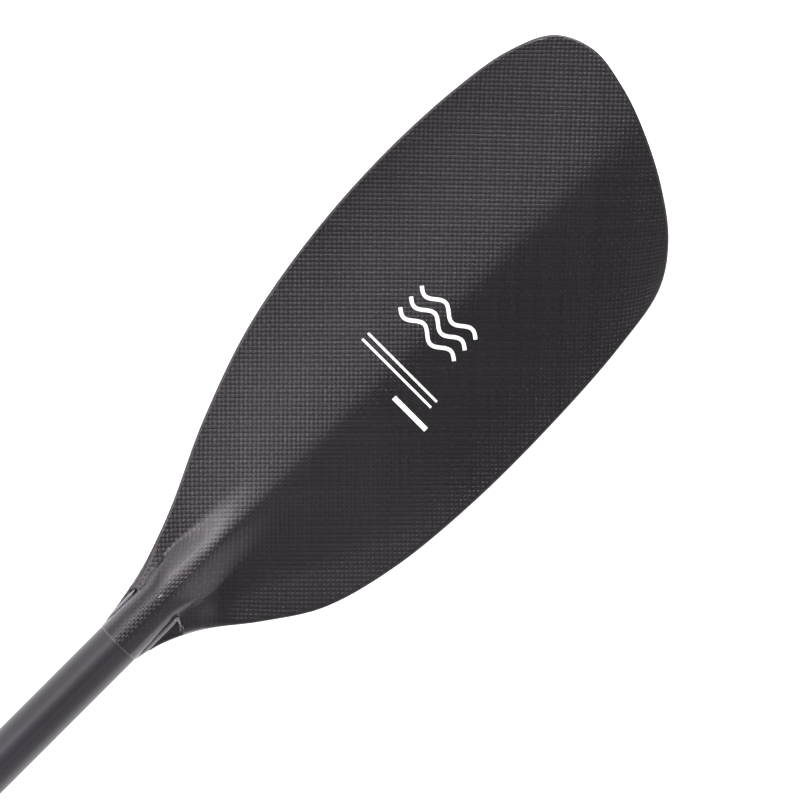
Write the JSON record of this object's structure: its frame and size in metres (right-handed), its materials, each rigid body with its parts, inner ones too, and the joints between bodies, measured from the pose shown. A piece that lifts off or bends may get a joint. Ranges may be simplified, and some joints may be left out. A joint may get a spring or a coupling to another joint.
{
  "type": "kayak paddle",
  "caption": "Double-bladed kayak paddle in two halves with spooned asymmetric foam-core blades, a tubular shaft and a lever-clamped ferrule that sets length and feather.",
  "frame": {"origin": "middle of the paddle's length, under the middle of its box, on the plane that the backs of both blades lie on", "axes": "+X along the shaft towards the right-hand blade's tip, +Y across the blades towards their longer edges, +Z the side that both power faces look to at zero feather"},
  "size_m": [1.9404, 0.2049, 0.0547],
  "materials": {
    "carbon_weave": "satin",
    "carbon_shaft": "satin",
    "carbon_inner": "satin",
    "rigid_foam": "matte",
    "resin_edge": "satin",
    "filled_nylon": "matte",
    "anodised_aluminium": "satin",
    "stainless_steel": "satin"
  },
  "bodies": {
    "right_half": {"right_power_face": "carbon_weave", "right_back_face": "carbon_weave", "right_foam_core": "rigid_foam", "right_edge_band": "resin_edge", "right_neck_spigot": "carbon_inner", "right_shaft": "carbon_shaft", "ferrule_insert": "carbon_inner", "insert_end_cap": "filled_nylon", "insert_foam_plug": "rigid_foam"},
    "feather_ring": {"feather_ring": "filled_nylon"},
    "left_half": {"left_power_face": "carbon_weave", "left_back_face": "carbon_weave", "left_foam_core": "rigid_foam", "left_edge_band": "resin_edge", "left_neck_spigot": "carbon_inner", "left_shaft": "carbon_shaft", "left_bulkhead_plug": "rigid_foam", "clamp_collar": "filled_nylon", "tension_stud": "stainless_steel", "adjusting_nut": "anodised_aluminium", "cam_washer": "stainless_steel", "lever_barrel": "anodised_aluminium"},
    "lever": {"clamp_lever": "filled_nylon"}
  },
  "joints": [
    {"name": "length_slide", "type": "slide", "parent": "right_half", "child": "feather_ring", "axis": [-1, 0, 0], "range_m": [0, 0.1]},
    {"name": "feather_turn", "type": "hinge", "parent": "feather_ring", "child": "left_half", "pos_m": [0, 0, 0.02349], "axis": [1, 0, 0], "range_deg": [-90, 90]},
    {"name": "lever_swing", "type": "hinge", "parent": "left_half", "child": "lever", "pos_m": [-0.0173, 0.0186, 0.04799], "axis": [1, 0, 0], "range_deg": [0, 150]}
  ]
}
